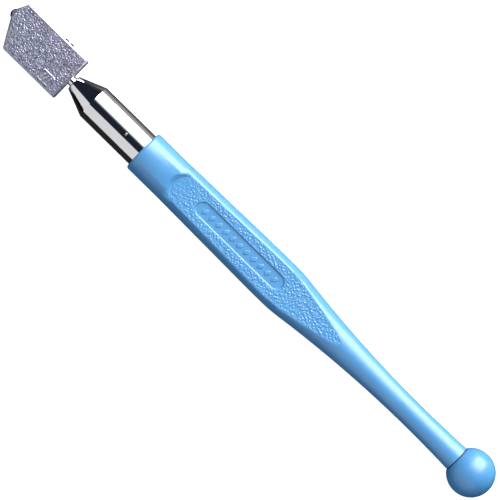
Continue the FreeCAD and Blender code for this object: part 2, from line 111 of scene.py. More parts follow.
class Finish:
    """A Principled material, and short calls for the layers that it is made of."""

    def __init__(self, name, color, roughness, metallic=0.0, ior=1.5):
        self.material = bpy.data.materials.new(name)
        self.material.use_nodes = True
        self.tree = self.material.node_tree
        self.shader = self.tree.nodes["Principled BSDF"]
        self.place = add_node(self.tree, "ShaderNodeTexCoord").outputs["Object"]
        self.color = (*color, 1.0)
        self.height = None
        self.shader.inputs["Base Color"].default_value = self.color
        self.shader.inputs["Roughness"].default_value = roughness
        self.shader.inputs["Metallic"].default_value = metallic
        self.shader.inputs["IOR"].default_value = ior
        FINISHES[name] = self.material

    def set(self, **values):
        """Constants on the shader's own sockets."""
        for name, value in values.items():
            self.shader.inputs[name.replace("_", " ")].default_value = value

    def stretched(self, scale):
        """Object coordinates stretched by a factor along each axis."""
        mapping = add_node(self.tree, "ShaderNodeMapping", {"Vector": self.place})
        mapping.inputs["Scale"].default_value = scale
        return mapping.outputs["Vector"]

    def noise(self, size, detail=2.0, vector=None):
        """Noise whose features are about size metres across."""
        node = add_node(self.tree, "ShaderNodeTexNoise", {"Vector": vector or self.place})
        node.inputs["Scale"].default_value = 1 / size
        node.inputs["Detail"].default_value = detail
        return node.outputs["Fac"]

    def cells(self, size):
        """Distance to the nearest of points about size metres apart."""
        node = add_node(self.tree, "ShaderNodeTexVoronoi", {"Vector": self.place})
        node.inputs["Scale"].default_value = 1 / size
        return node.outputs["Distance"]

    def spread(self, value, low, high, start=0.3, end=0.7):
        """A value between start and end spread over low to high."""
        node = add_node(self.tree, "ShaderNodeMapRange", {"Value": value})
        node.inputs["From Min"].default_value = start
        node.inputs["From Max"].default_value = end
        node.inputs["To Min"].default_value = low
        node.inputs["To Max"].default_value = high
        return node.outputs["Result"]

    def vary_color(self, amount, other):
        """Mixes the base colour with another by a value from 0 to 1."""
        before = self.shader.inputs["Base Color"]
        node = add_node(self.tree, "ShaderNodeMix", {"Factor": amount}, data_type="RGBA")
        first = node.inputs[6]
        if before.is_linked:
            self.tree.links.new(before.links[0].from_socket, first)
        else:
            first.default_value = self.color
        node.inputs[7].default_value = (*other, 1.0)
        self.tree.links.new(node.outputs[2], before)

    def vary_roughness(self, value):
        """Drives the roughness by a value."""
        self.tree.links.new(value, self.shader.inputs["Roughness"])

    def bump(self, value, depth, strength=1.0):
        """Adds relief of a depth in metres on top of what is there."""
        node = add_node(self.tree, "ShaderNodeBump", {"Height": value})
        node.inputs["Distance"].default_value = depth
        node.inputs["Strength"].default_value = strength
        if self.height:
            self.tree.links.new(self.height, node.inputs["Normal"])
        self.height = node.outputs["Normal"]
        self.tree.links.new(self.height, self.shader.inputs["Normal"])

    def edge_wear_and_highlight(self, amount, color):
        """Lightens the most raised edges: wear, and a painted edge highlight."""
        point = add_node(self.tree, "ShaderNodeNewGeometry").outputs["Pointiness"]
        self.vary_color(self.spread(point, 0.0, amount, 0.52, 0.6), color)


def moulded_plastic(name, color, roughness):
    """Glossy, slightly cloudy moulded plastic with a fine moulded skin."""
    made = Finish(name, color, roughness, ior=1.52)
    made.set(Subsurface_Weight=0.2, Subsurface_Scale=0.0012, Coat_Weight=0.75,
             Coat_Roughness=0.27, Specular_IOR_Level=0.65)
    made.shader.inputs["Subsurface Radius"].default_value = (0.2, 0.5, 1.0)
    deeper = tuple(c * k for c, k in zip(color, (0.72, 0.86, 0.95)))
    paler = tuple(min(1.0, c * 1.12 + 0.02) for c in color)
    made.vary_color(made.spread(made.noise(0.011, 2.0), 0.0, 0.5), deeper)
    # paler raised edges: a painted edge highlight
    made.edge_wear_and_highlight(0.35, paler)
    made.vary_roughness(made.spread(made.noise(0.0011, 3.0), roughness - 0.04, roughness + 0.05))
    made.bump(made.noise(0.0022, 2.0), 0.00001, 0.5)
    made.bump(made.noise(0.00018, 1.0), 0.0000015, 0.6)
    return made


def cast_metal(name, color, roughness):
    """Plated die-cast metal: satin, with a grainy skin and paler edges, partly wear and partly a
    painted edge highlight.
    """
    made = Finish(name, color, roughness, metallic=0.9)
    darker = tuple(c * 0.55 for c in color)
    made.vary_color(made.spread(made.noise(0.00018, 2.0), 0.0, 0.5, 0.4, 0.6), darker)
    # paler raised edges: partly wear, partly a painted edge highlight
    made.edge_wear_and_highlight(0.7, (0.83, 0.83, 0.88))
    made.vary_roughness(made.spread(made.noise(0.0007, 2.0), roughness - 0.1, roughness + 0.1))
    made.bump(made.cells(0.00026), 0.00005, 0.6)
    made.bump(made.noise(0.00012, 2.0), 0.000006, 0.5)
    return made


def turned_metal(name, color, roughness, depth=0.0000015):
    """Turned metal: fine rings round the tool's axis and a little tarnish."""
    made = Finish(name, color, roughness, metallic=1.0)
    ring = 0.00022
    rings = made.noise(1.0, 1.0, made.stretched((1 / ring, 60.0, 60.0)))
    darker = tuple(c * 0.8 for c in color)
    made.vary_color(made.spread(made.noise(0.0035, 3.0), 0.0, 0.3), darker)
    made.vary_roughness(made.spread(rings, roughness * 0.75, roughness * 1.35))
    made.bump(rings, depth, 0.5)
    return made


def ground_carbide(name, color):
    """Sintered carbide with the fine marks that grinding leaves round the wheel."""
    made = Finish(name, color, 0.3, metallic=0.85)
    made.vary_color(made.spread(made.noise(0.00008, 2.0), 0.0, 0.5), (0.05, 0.05, 0.06))
    marks = made.noise(1.0, 2.0, made.stretched((900.0, 900.0, 22000.0)))
    made.vary_roughness(made.spread(marks, 0.22, 0.42))
    made.bump(marks, 0.000002, 0.5)
    return made


def moulded_rubber(name, color):
    """Dull black rubber with a faint moulded skin."""
    made = Finish(name, color, 0.62, ior=1.49)
    made.vary_color(made.spread(made.noise(0.0009, 3.0), 0.0, 0.6), (0.035, 0.035, 0.036))
    made.vary_roughness(made.spread(made.noise(0.0004, 2.0), 0.5, 0.75))
    made.bump(made.noise(0.0002, 3.0), 0.000006, 0.6)
    return made


# ------------------------------------------------------------------------ making meshes


def new_piece(name, bm=None):
    """An object in the scene, with a bmesh's faces if one is given."""
    mesh = bpy.data.meshes.new(name)
    if bm:
        bm.normal_update()
        bm.to_mesh(mesh)
        bm.free()
    piece = bpy.data.objects.new(name, mesh)
    bpy.context.scene.collection.objects.link(piece)
    return piece


def seat(piece, body, nodes):
    """Hangs a piece on its body, in place of the frame's nodes that it stands for."""
    if nodes:
        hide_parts(*nodes)
    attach(piece, body)


def finished(name, bm, finish, body, nodes=(), sharp=32.0):
    """Makes a piece of a bmesh, gives it its finish and hangs it on its body."""
    piece = new_piece(name, bm)
    piece.data.materials.append(FINISHES[finish])
    smooth(piece.data, sharp)
    seat(piece, body, nodes)
    return piece


def smooth(mesh, sharp):
    """Smooth shading, broken where faces meet at more than an angle in degrees."""
    mesh.polygons.foreach_set("use_smooth", [True] * len(mesh.polygons))
    mesh.set_sharp_from_angle(angle=math.radians(sharp))
    mesh.update()


def eased(spots, reach, steps=4):
    """Rounds the corners of a closed profile, each by its own reach in millimetres."""
    made = []
    count = len(spots)
    for i, (x, r, *own) in enumerate(spots):
        here = Vector((x, r))
        before = Vector(spots[i - 1][:2])
        after = Vector(spots[(i + 1) % count][:2])
        size = own[0] if own else reach
        size = min(size, (before - here).length * 0.45, (after - here).length * 0.45)
        if r < 1e-6 or size < 1e-6:
            made.append((x, r))
            continue
        start = here + (before - here).normalized() * size
        end = here + (after - here).normalized() * size
        for k in range(steps + 1):
            t = k / steps
            made.append(tuple(start * (1 - t) ** 2 + here * 2 * t * (1 - t) + end * t * t))
    return made


def split_runs(spots, longest):
    """Cuts the long runs of a closed profile into shorter ones."""
    made = []
    for (x0, r0), (x1, r1) in zip(spots, spots[1:] + spots[:1]):
        parts = max(1, math.ceil(math.hypot(x1 - x0, r1 - r0) / longest))
        made += [(x0 + (x1 - x0) * k / parts, r0 + (r1 - r0) * k / parts) for k in range(parts)]
    return made


def lathe(spots, segments, centre=None):
    """Turns a closed profile of (station, radius) in millimetres round the tool's axis.

    With a centre, the profile is (height, radius) and turns round Z at that point instead."""
    bm = bmesh.new()
    rings = []
    for along, radius in spots:
        ring = []
        for k in range(1 if radius < 1e-6 else segments):
            angle = math.tau * k / segments
            side, up = radius * MM * math.sin(angle), radius * MM * math.cos(angle)
            if centre is None:
                place = (station_x(along), side, AXIS_Z + up)
            else:
                place = (centre[0] + up, centre[1] + side, centre[2] + along * MM)
            ring.append(bm.verts.new(place))
        rings.append(ring)
    for one, two in zip(rings, rings[1:] + rings[:1]):
        for k in range(segments):
            near = one[k % len(one)], one[(k + 1) % len(one)]
            far = two[(k + 1) % len(two)], two[k % len(two)]
            corners = list(dict.fromkeys((*near, *far)))
            if len(corners) > 2:
                bm.faces.new(corners)
    bmesh.ops.recalc_face_normals(bm, faces=bm.faces)
    if bm.calc_volume(signed=True) < 0:
        bmesh.ops.reverse_faces(bm, faces=bm.faces)
    return bm


def merged_copy(node):
    """A welded copy of a node's mesh."""
    bm = bmesh.new()
    bm.from_mesh(NODES[node].data)
    bmesh.ops.remove_doubles(bm, verts=bm.verts, dist=0.0000015)
    for layer in list(bm.loops.layers.float_vector.values()):
        bm.loops.layers.float_vector.remove(layer)
    return bm


def crossings(points, starts, ends):
    """Which 2D points are inside the loops whose edges run from starts to ends."""
    x, y = points[:, 0:1], points[:, 1:2]
    x0, y0, x1, y1 = starts[:, 0], starts[:, 1], ends[:, 0], ends[:, 1]
    spans = (y0 > y) != (y1 > y)
    rise = np.where(y1 == y0, 1e-12, y1 - y0)
    return (spans & (x < (x1 - x0) * (y - y0) / rise + x0)).sum(axis=1) % 2 == 1


def edge_distance(points, starts, ends):
    """Distance of each 2D point from the nearest edge."""
    run = ends - starts
    size = np.maximum((run * run).sum(axis=1), 1e-12)
    offset = points[:, None, :] - starts[None]
    t = np.clip((offset * run[None]).sum(axis=2) / size, 0, 1)
    return np.sqrt(((offset - t[..., None] * run[None]) ** 2).sum(axis=2)).min(axis=1)


def fill_points(low, high, gap):
    """A staggered grid of 2D points over a box."""
    rows = []
    for j, y in enumerate(np.arange(low[1], high[1], gap * 0.866)):
        xs = np.arange(low[0] + (j % 2) * gap / 2, high[0], gap)
        rows.append(np.stack([xs, np.full_like(xs, y)], axis=1))
    return np.concatenate(rows)


def refine_flat(bm, height, gap, strength):
    """Replaces a level flat by a fine even net, and marks how strongly it is pebbled.

    height is the flat's Z, gap the net's spacing in millimetres, and strength a function of
    X and Y and of the distance from the flat's edge, all in millimetres."""
    side = 1 if height > AXIS_Z else -1
    layer = bm.verts.layers.float.get(PEBBLE) or bm.verts.layers.float.new(PEBBLE)
    flat = [f for f in bm.faces if f.normal.z * side > 0.999
            and abs(f.calc_center_median().z - height) < 0.00001]
    inside = set(flat)
    edges = [e for f in flat for e in f.edges if sum(g in inside for g in e.link_faces) == 1]
    corners = list(dict.fromkeys(v for e in edges for v in e.verts))
    number = {v: i for i, v in enumerate(corners)}
    rim = np.array([(v.co.x / MM, v.co.y / MM) for v in corners])
    pairs = [(number[e.verts[0]], number[e.verts[1]]) for e in edges]
    starts, ends = rim[[p[0] for p in pairs]], rim[[p[1] for p in pairs]]
    grid = fill_points(rim.min(axis=0), rim.max(axis=0), gap)
    grid = grid[crossings(grid, starts, ends)]
    grid = grid[edge_distance(grid, starts, ends) > gap * 0.55]
    flat_points = [Vector(p) for p in np.concatenate([rim, grid]).tolist()]
    places, _, faces, sources, _, _ = geometry.delaunay_2d_cdt(
        flat_points, pairs, [], 0, 0.00001)
    middles = np.array([sum((places[i] for i in f), Vector((0, 0))) / len(f) for f in faces])
    kept = crossings(middles, starts, ends)
    bmesh.ops.delete(bm, geom=flat, context="FACES")
    spots = np.array([tuple(p) for p in places])
    depths = edge_distance(spots, starts, ends)
    verts = []
    for place, source, depth in zip(spots, sources, depths):
        old = [i for i in source if i < len(corners)]
        if old:
            verts.append(corners[old[0]])
            continue
        vert = bm.verts.new((place[0] * MM, place[1] * MM, height))
        vert[layer] = strength(place[0], place[1], depth)
        verts.append(vert)
    for face, keep in zip(faces, kept):
        ring = [verts[i] for i in face]
        if keep and len(set(ring)) == len(ring):
            turn = (places[face[1]] - places[face[0]]).cross(places[face[2]] - places[face[0]])
            bm.faces.new(ring if turn * side > 0 else ring[::-1])


def ramp(value, start, end):
    """A smooth step from 0 at start to 1 at end."""
    t = min(1.0, max(0.0, (value - start) / (end - start)))
    return t * t * (3 - 2 * t)


def drill(piece, place, radius, low, high, segments):
    """Drills an upright round hole in a piece, between two heights in millimetres over a place."""
    hole = [(low, 0.0), (low, radius), (high, radius), (high, 0.0)]
    tool = new_piece("drill", lathe(hole, segments, place))
    modifier = piece.modifiers.new("cut", "BOOLEAN")
    modifier.object = tool
    modifier.solver = "EXACT"
    settle(piece)
    bpy.data.objects.remove(tool)
    smooth(piece.data, 30.0)


def settle(piece):
    """Replaces a piece's mesh by the result of its modifiers."""
    bpy.context.view_layer.update()
    evaluated = piece.evaluated_get(bpy.context.evaluated_depsgraph_get())
    made = bpy.data.meshes.new_from_object(evaluated)
    piece.modifiers.clear()
    before = piece.data
    piece.data = made
    made.name = piece.name
    bpy.data.meshes.remove(before)


# --------------------------------------------------------------------- geometry node trees


def new_tree(name, sockets):
    """A geometry node tree with a named input for each of its sizes."""
    tree = bpy.data.node_groups.new(name, "GeometryNodeTree")
    tree.interface.new_socket("Geometry", in_out="INPUT", socket_type="NodeSocketGeometry")
    for label, kind, value in sockets:
        socket = tree.interface.new_socket(label, in_out="INPUT", socket_type=kind)
        if value is not None:
            socket.default_value = value
    tree.interface.new_socket("Geometry", in_out="OUTPUT", socket_type="NodeSocketGeometry")
    return tree, tree.nodes.new("NodeGroupInput"), tree.nodes.new("NodeGroupOutput")


def calc(tree, operation, a, b=0.0, c=0.0):
    """A maths node's result."""
    node = tree.nodes.new("ShaderNodeMath")
    node.operation = operation
    for socket, value in zip(node.inputs, (a, b, c)):
        if isinstance(value, bpy.types.NodeSocket):
            tree.links.new(value, socket)
        else:
            socket.default_value = value
    return node.outputs[0]


def close_tree(tree, shape, given, end):
    """Realises a tree's instances, sets its material and leads it to the output."""
    real = add_node(tree, "GeometryNodeRealizeInstances", {"Geometry": shape})
    coat = add_node(tree, "GeometryNodeSetMaterial",
                    {"Geometry": real.outputs[0], "Material": given.outputs["Material"]})
    tree.links.new(coat.outputs[0], end.inputs[0])


def pebble_tree():
    """Raises rounded grains of uneven height where the pebble attribute asks for them."""
    tree, given, end = new_tree("pebbled_skin", (
        ("Grain Size", "NodeSocketFloat", 0.0007),
        ("Grain Height", "NodeSocketFloat", 0.00005),
        ("Material", "NodeSocketMaterial", None),
    ))
    scale = calc(tree, "DIVIDE", 1.0, given.outputs["Grain Size"])
    warp = add_node(tree, "ShaderNodeTexNoise",
                    {"Scale": calc(tree, "MULTIPLY", scale, 0.6), "Detail": 1.0})
    shift = add_node(tree, "ShaderNodeVectorMath",
                     {0: warp.outputs["Color"], "Scale": 0.00035}, operation="SCALE")
    place = add_node(tree, "ShaderNodeVectorMath",
                     {0: add_node(tree, "GeometryNodeInputPosition").outputs[0],
                      1: shift.outputs[0]}, operation="ADD")
    grain = add_node(tree, "ShaderNodeTexVoronoi",
                     {"Vector": place.outputs[0], "Scale": scale, "Smoothness": 0.35},
                     feature="SMOOTH_F1")
    uneven = add_node(tree, "ShaderNodeTexVoronoi", {"Vector": place.outputs[0], "Scale": scale})
    dome = add_node(tree, "ShaderNodeMapRange", {
        "Value": grain.outputs["Distance"], "From Min": 0.12, "From Max": 0.62,
        "To Min": 1.0, "To Max": -0.35}, interpolation_type="SMOOTHSTEP")
    shade = add_node(tree, "FunctionNodeSeparateColor", {"Color": uneven.outputs["Color"]})
    lift = calc(tree, "MULTIPLY_ADD", shade.outputs["Red"], 0.75, 0.35)
    mask = add_node(tree, "GeometryNodeInputNamedAttribute", {"Name": PEBBLE},
                    data_type="FLOAT").outputs["Attribute"]
    height = calc(tree, "MULTIPLY", dome.outputs["Result"], lift)
    height = calc(tree, "MULTIPLY", height, mask)
    height = calc(tree, "MULTIPLY", height, given.outputs["Grain Height"])
    offset = add_node(tree, "ShaderNodeVectorMath",
                      {0: add_node(tree, "GeometryNodeInputNormal").outputs[0],
                       "Scale": height}, operation="SCALE")
    moved = add_node(tree, "GeometryNodeSetPosition",
                     {"Geometry": given.outputs["Geometry"], "Offset": offset.outputs[0]})
    close_tree(tree, moved.outputs[0], given, end)
    return tree


def coil_tree():
    """Sweeps a round or vee section along a helix round the tool's axis."""
    tree, given, end = new_tree("coil", (
        ("Start", "NodeSocketVector", None),
        ("Length", "NodeSocketFloat", 0.01),
        ("Radius", "NodeSocketFloat", 0.002),
        ("Turns", "NodeSocketFloat", 6.0),
        ("Section Radius", "NodeSocketFloat", 0.0002),
        ("Section Sides", "NodeSocketInt", 12),
        ("Steps Per Turn", "NodeSocketInt", 48),
        ("Material", "NodeSocketMaterial", None),
    ))
    spiral = add_node(tree, "GeometryNodeCurveSpiral", {
        "Resolution": given.outputs["Steps Per Turn"], "Rotations": given.outputs["Turns"],
        "Start Radius": given.outputs["Radius"], "End Radius": given.outputs["Radius"],
        "Height": given.outputs["Length"]})
    section = add_node(tree, "GeometryNodeCurvePrimitiveCircle", {
        "Resolution": given.outputs["Section Sides"],
        "Radius": given.outputs["Section Radius"]})
    swept = add_node(tree, "GeometryNodeCurveToMesh", {
        "Curve": spiral.outputs[0], "Profile Curve": section.outputs[0], "Fill Caps": True})
    laid = add_node(tree, "GeometryNodeTransform", {
        "Geometry": swept.outputs[0], "Translation": given.outputs["Start"],
        "Rotation": (0.0, -math.pi / 2, 0.0)})
    close_tree(tree, laid.outputs[0], given, end)
    return tree


def relief_tree():
    """Sets a row of copies of the given shape along a line, on both grip panels."""
    tree, given, end = new_tree("relief_row", (
        ("First", "NodeSocketVector", None),
        ("Step", "NodeSocketVector", None),
        ("Count", "NodeSocketInt", 9),
        ("Axis", "NodeSocketVector", None),
        ("Material", "NodeSocketMaterial", None),
    ))
    row = add_node(tree, "GeometryNodeMeshLine", {
        "Count": given.outputs["Count"], "Start Location": given.outputs["First"],
        "Offset": given.outputs["Step"]})
    copies = add_node(tree, "GeometryNodeInstanceOnPoints", {
        "Points": row.outputs[0], "Instance": given.outputs["Geometry"]})
    turned = add_node(tree, "GeometryNodeInstanceOnPoints", {
        "Points": add_node(tree, "GeometryNodeMeshLine", {
            "Count": 2, "Start Location": (0, 0, 0), "Offset": (0, 0, 0)}).outputs[0],
        "Instance": add_node(tree, "GeometryNodeGeometryToInstance",
                             {"Geometry": copies.outputs[0]}).outputs[0]})
    around = calc(tree, "MULTIPLY",
                  add_node(tree, "GeometryNodeInputIndex").outputs[0], math.pi)
    spin = add_node(tree, "ShaderNodeCombineXYZ", {"X": around})
    both = add_node(tree, "GeometryNodeRotateInstances", {
        "Instances": turned.outputs[0], "Rotation": spin.outputs[0],
        "Pivot Point": given.outputs["Axis"], "Local Space": False})
    close_tree(tree, both.outputs[0], given, end)
    return tree


def run_tree(piece, tree, values):
    """Runs a tree on a piece and leaves the plain mesh that it makes."""
    modifier = piece.modifiers.new(tree.name, "NODES")
    modifier.node_group = tree
    for item in tree.interface.items_tree:
        if item.in_out == "INPUT" and item.name in values:
            modifier[item.identifier] = values[item.name]
    settle(piece)


def grown(name, tree, values, finish, body, shape=None, nodes=(), sharp=40.0):
    """A piece that a tree makes whole, or out of a small shape."""
    piece = new_piece(name, shape)
    run_tree(piece, tree, {**values, "Material": FINISHES[finish]})
    smooth(piece.data, sharp)
    seat(piece, body, nodes)
    return piece


# ------------------------------------------------------------------------------- settings


def color_prop(label, text, default):
    """A colour that a user would change."""
    return bpy.props.FloatVectorProperty(name=label, description=text, default=default,
                                         subtype="COLOR", size=3, min=0.0, max=1.0)


def size_prop(label, text, default, most):
    """A length that a user would change."""
    return bpy.props.FloatProperty(name=label, description=text, default=default, min=0.0,
                                   max=most, unit="LENGTH", subtype="DISTANCE", precision=5)


class GlassCutterColors(bpy.types.PropertyGroup):
    """Colours of the finishes."""

    plastic: color_prop("Handle Plastic", "Blue plastic of the grip", (0.068, 0.276, 0.525))
    ball: color_prop("Ball Plastic", "Blue plastic of the filler cap", (0.065, 0.269, 0.515))
    cast: color_prop("Cast Head", "Plated die-cast head", (0.5, 0.515, 0.67))
    chrome: color_prop("Ferrule Plating", "Bright plating of the ferrule", (0.86, 0.865, 0.88))
    brass: color_prop("Inner Brass", "Brass of the stud and the insert", (0.75, 0.56, 0.27))
    steel: color_prop("Steel", "Pins and axle", (0.56, 0.56, 0.57))
    screw: color_prop("Lock Screw", "Darkened screw steel", (0.22, 0.22, 0.25))
    carbide: color_prop("Carbide", "Cutting wheel", (0.13, 0.13, 0.14))
    rubber: color_prop("Seal Rubber", "Washer and seals", (0.018, 0.018, 0.019))


class GlassCutterSizes(bpy.types.PropertyGroup):
    """Sizes of the surface detail."""

    grip_grain: size_prop("Grip Grain", "Width of a grain on the grip panels", 0.0006, 0.003)
    grip_depth: size_prop("Grip Grain Height", "Height of a grain on the panels", 0.00018, 0.001)
    head_grain: size_prop("Head Grain", "Width of a grain on the cast head", 0.0004, 0.003)
    head_depth: size_prop("Head Grain Height", "Height of a grain on the head", 0.00007, 0.001)
    net_gap: size_prop("Net Gap", "Spacing of the fine net on pebbled flats", 0.00014, 0.001)
    relief_height: size_prop("Relief Height", "Height of the raised marks", 0.00019, 0.001)


# ------------------------------------------------------------------------------ operators


class GLASSCUTTER_OT_finishes(bpy.types.Operator):
    """Make the finishes and give them to the frame's own parts"""

    bl_idname = "glass_cutter.finishes"
    bl_label = "Finishes"

    def execute(self, context):
        colors = context.scene.glass_cutter_colors
        moulded_plastic("blue_plastic", colors.plastic, 0.58)
        moulded_plastic("blue_plastic_cap", colors.ball, 0.55)
        cast_metal("head_metal", colors.cast, 0.34)
        turned_metal("plated_ferrule", colors.chrome, 0.07, depth=0.0000002)
        turned_metal("plated_stem", colors.chrome, 0.1, depth=0.0000003)
        turned_metal("steel", colors.steel, 0.28)
        turned_metal("screw_steel", colors.screw, 0.34)
        turned_metal("spring_steel", colors.steel, 0.22)
        turned_metal("inner_brass", colors.brass, 0.26)
        ground_carbide("carbide", colors.carbide)
        moulded_rubber("seal_rubber", colors.rubber)
        for node in NODES.values():
            for slot in node.material_slots:
                slot.material = FINISHES[slot.name.split(".")[0]]
        return {"FINISHED"}


class GLASSCUTTER_OT_handle(bpy.types.Operator):
    """Build the handle with its pebbled grip panels"""

    bl_idname = "glass_cutter.handle"
    bl_label = "Handle"

    def execute(self, context):
        sizes = context.scene.glass_cutter_sizes
        bm = merged_copy("handle")
        smooth_front, rough_front = station_x(60.5) / MM, station_x(74.0) / MM
        coarse_gap = 0.4

        def strength(x, y, depth):
            front = 0.45 + 0.55 * ramp(-x, -smooth_front, -rough_front)
            return ramp(depth, 0.12, 0.5) * front

        for side in (1, -1):
            refine_flat(bm, AXIS_Z + side * PANEL_LEVEL * MM, sizes.net_gap / MM, strength)
            refine_flat(bm, AXIS_Z + side * RECESS_LEVEL * MM, coarse_gap,
                        lambda x, y, depth: 0.0)
        piece = finished("handle_grip", bm, "blue_plastic", "tool_body",
                         ["handle"])
        run_tree(piece, pebble_tree(), {
            "Grain Size": sizes.grip_grain, "Grain Height": sizes.grip_depth,
            "Material": FINISHES["blue_plastic"]})
        smooth(piece.data, 32.0)
        return {"FINISHED"}


class GLASSCUTTER_OT_relief(bpy.types.Operator):
    """Build the row of raised lozenges in the grip panels' recesses"""

    bl_idname = "glass_cutter.relief"
    bl_label = "Grip Relief"

    def execute(self, context):
        sizes = context.scene.glass_cutter_sizes
        height = sizes.relief_height / MM
        bm = bmesh.new()
        rings = []
        for reach, level in ((1.0, -0.06), (1.0, height * 0.55), (0.88, height * 0.9),
                             (0.7, height)):
            corners = ((0.85, 0.0), (0.35, 1.0), (-0.85, 0.0), (-0.35, -1.0))
            spots = [(Vector(a) * 0.86 + Vector(b) * 0.14, Vector(a) * 0.86 + Vector(c) * 0.14)
                     for c, a, b in zip(corners[-1:] + corners, corners, corners[1:] + corners)]
            ring = [p for pair in spots for p in (pair[1], pair[0])]
            rings.append([bm.verts.new((p.x * reach * MM, p.y * reach * MM, level * MM))
                          for p in ring])
        for one, two in zip(rings, rings[1:]):
            for k in range(len(one)):
                n = (k + 1) % len(one)
                bm.faces.new((one[k], one[n], two[n], two[k]))
        bm.faces.new(rings[-1])
        bm.faces.new(rings[0][::-1])
        bmesh.ops.recalc_face_normals(bm, faces=bm.faces)
        first, last, count = 72.3, 97.2, 11
        floor = AXIS_Z + RECESS_LEVEL * MM
        grown("grip_relief", relief_tree(), {
            "First": (station_x(first), 0.0, floor),
            "Step": (-(last - first) / (count - 1) * MM, 0.0, 0.0), "Count": count,
            "Axis": (0.0, 0.0, AXIS_Z)},
            "blue_plastic", "tool_body", shape=bm)
        return {"FINISHED"}


class GLASSCUTTER_OT_head(bpy.types.Operator):
    """Build the cast head plate and its raised mark"""

    bl_idname = "glass_cutter.head"
    bl_label = "Head"

    def execute(self, context):
        sizes = context.scene.glass_cutter_sizes
        low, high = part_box("head_plate")
        bm = merged_copy("head_plate")
        # the smooth pad under the mark: its two ends along X, then its two sides along Y
        pad = (station_x(20.9) / MM, station_x(16.4) / MM, 2.55, 5.73)

        def strength_below(x, y, depth):
            return ramp(depth, 0.15, 0.5)

        def strength(x, y, depth):
            out = max(pad[0] - x, x - pad[1], pad[2] - y, y - pad[3], 0.0)
            return strength_below(x, y, depth) * ramp(out, 0.05, 0.25)

        refine_flat(bm, high[2], sizes.net_gap / MM, strength)
        refine_flat(bm, low[2], sizes.net_gap / MM, strength_below)
        piece = finished("swivel_head", bm, "head_metal", "cutting_head",
                         ["head_plate"])
        run_tree(piece, pebble_tree(), {
            "Grain Size": sizes.head_grain, "Grain Height": sizes.head_depth,
            "Material": FINISHES["head_metal"]})
        smooth(piece.data, 38.0)
        self.raised_mark(pad, high[2], sizes.relief_height)
        return {"FINISHED"}

    def raised_mark(self, pad, top, height):
        """A raised frame round three slanted bars."""
        bm = bmesh.new()
        middle = Vector(((pad[0] + pad[1]) / 2, (pad[2] + pad[3]) / 2))
        half = Vector(((pad[1] - pad[0]) / 2, (pad[3] - pad[2]) / 2))
        outer, inner = rounded_box(half, 0.7), rounded_box(half - Vector((0.38, 0.38)), 0.45)
        levels = ((0.0, -0.04), (0.0, 0.7), (0.09, 1.0))
        rings = []
        for shrink, level in levels:
            rings.append([(p * (1 - shrink / half.x), level) for p in outer])
        for shrink, level in reversed(levels):
            rings.append([(p * (1 + shrink / half.x), level) for p in inner])
        ring_verts = [[bm.verts.new(((middle.x + p.x) * MM, (middle.y + p.y) * MM,
                                     top + level * height)) for p, level in ring]
                      for ring in rings]
        for one, two in zip(ring_verts, ring_verts[1:] + ring_verts[:1]):
            for k in range(len(one)):
                n = (k + 1) % len(one)
                bm.faces.new((one[k], one[n], two[n], two[k]))
        for shift in (-1.05, 0.0, 1.05):
            bar = ((-0.5, -0.85), (-0.02, -0.85), (0.5, 0.85), (0.02, 0.85))
            lower = [bm.verts.new(((middle.x + shift + x) * MM, (middle.y + y) * MM,
                                   top - 0.04 * height)) for x, y in bar]
            upper = [bm.verts.new(((middle.x + shift + x * 0.82) * MM,
                                   (middle.y + y * 0.9) * MM, top + height)) for x, y in bar]
            for k in range(4):
                n = (k + 1) % 4
                bm.faces.new((lower[k], lower[n], upper[n], upper[k]))
            bm.faces.new(upper)
            bm.faces.new(lower[::-1])
        bmesh.ops.recalc_face_normals(bm, faces=bm.faces)
        finished("head_mark", bm, "head_metal", "cutting_head")


def rounded_box(half, radius):
    """The outline of a box with rounded corners, anticlockwise."""
    made = []
    steps = 4
    for k, (sx, sy) in enumerate(((1, 1), (-1, 1), (-1, -1), (1, -1))):
        middle = Vector((sx * (half.x - radius), sy * (half.y - radius)))
        for i in range(steps + 1):
            angle = math.pi / 2 * (k + i / steps)
            made.append(middle + Vector((math.cos(angle), math.sin(angle))) * radius)
    return made


class GLASSCUTTER_OT_wheel(bpy.types.Operator):
    """Build the carbide wheel, its axle and the lock screw"""

    bl_idname = "glass_cutter.wheel"
    bl_label = "Wheel, Axle and Lock Screw"

    def execute(self, context):
        low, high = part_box("cutting_wheel")
        centre = [(a + b) / 2 for a, b in zip(low, high)]
        radius, half = (high[0] - low[0]) / 2 / MM, (high[2] - low[2]) / 2 / MM
        bore = 0.43
        spots = [(-half, bore + 0.05), (-half, radius - 0.24), (-half + 0.06, radius - 0.2),
                 (-0.02, radius - 0.01), (0.0, radius), (0.02, radius - 0.01),
                 (half - 0.06, radius - 0.2), (half, radius - 0.24), (half, bore + 0.05),
                 (half - 0.05, bore), (-half + 0.05, bore)]
        finished("scoring_wheel", lathe(spots, 160, centre), "carbide", "wheel",
                 ["cutting_wheel"], sharp=14.0)
        reach = (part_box("wheel_axle")[1][2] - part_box("wheel_axle")[0][2]) / 2 / MM
        spots = [(-reach + 0.02, 0.0), (-reach + 0.03, 0.2), (-reach + 0.08, 0.31),
                 (-reach + 0.16, 0.365), (-reach + 0.22, 0.39), (reach - 0.22, 0.39),
                 (reach - 0.16, 0.365), (reach - 0.08, 0.31), (reach - 0.03, 0.2),
                 (reach - 0.02, 0.0)]
        finished("wheel_pin", lathe(spots, 48, centre), "steel", "cutting_head",
                 ["wheel_axle"], sharp=50.0)
        screw = merged_copy("head_lock_screw")
        finished("lock_screw_body", screw, "screw_steel", "lock_screw",
                 ["head_lock_screw"])
        return {"FINISHED"}


